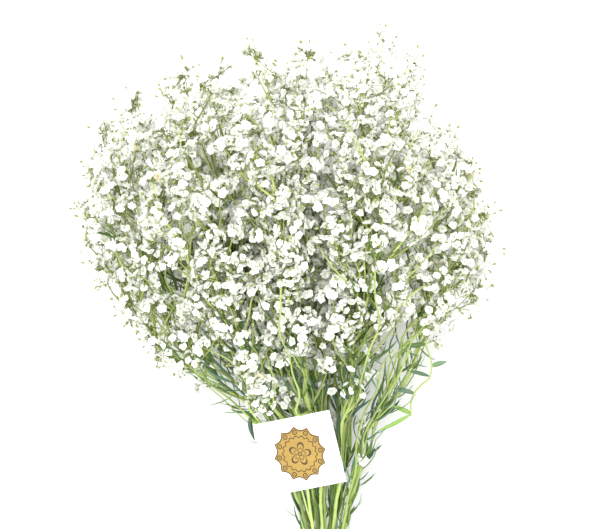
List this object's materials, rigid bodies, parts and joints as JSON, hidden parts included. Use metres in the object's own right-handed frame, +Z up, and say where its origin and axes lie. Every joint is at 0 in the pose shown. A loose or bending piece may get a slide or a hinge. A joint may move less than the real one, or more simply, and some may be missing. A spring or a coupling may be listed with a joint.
{
  "type": "gypsophila bunch",
  "caption": "Tied bunch of double white gypsophila lying on its side, with branching leafy stems, small florets and a square card with a gold emblem.",
  "frame": {"origin": "under the middle of the bunch's bounding box, on the surface that it lies on", "axes": "+Y along the stems towards the flowering head, +Z up from the surface, +X to the right of someone who looks down on it with the head upwards"},
  "size_m": [0.3646, 0.5544, 0.1969],
  "materials": {
    "stems_and_florets": "fresh green stems with white florets",
    "twine": "rough twisted fibre",
    "paper": "matt white card",
    "foil": "satin gold foil"
  },
  "bodies": {
    "root": {"stem_01": "stems_and_florets", "stem_02": "stems_and_florets", "stem_03": "stems_and_florets", "stem_04": "stems_and_florets", "stem_05": "stems_and_florets", "stem_06": "stems_and_florets", "stem_07": "stems_and_florets", "stem_08": "stems_and_florets", "stem_09": "stems_and_florets", "stem_10": "stems_and_florets", "stem_11": "stems_and_florets", "stem_12": "stems_and_florets", "stem_13": "stems_and_florets", "stem_14": "stems_and_florets", "stem_15": "stems_and_florets", "stem_16": "stems_and_florets", "stem_17": "stems_and_florets", "stem_18": "stems_and_florets", "twine_tie": "twine", "card": "paper", "card_emblem": "foil"}
  },
  "joints": []
}
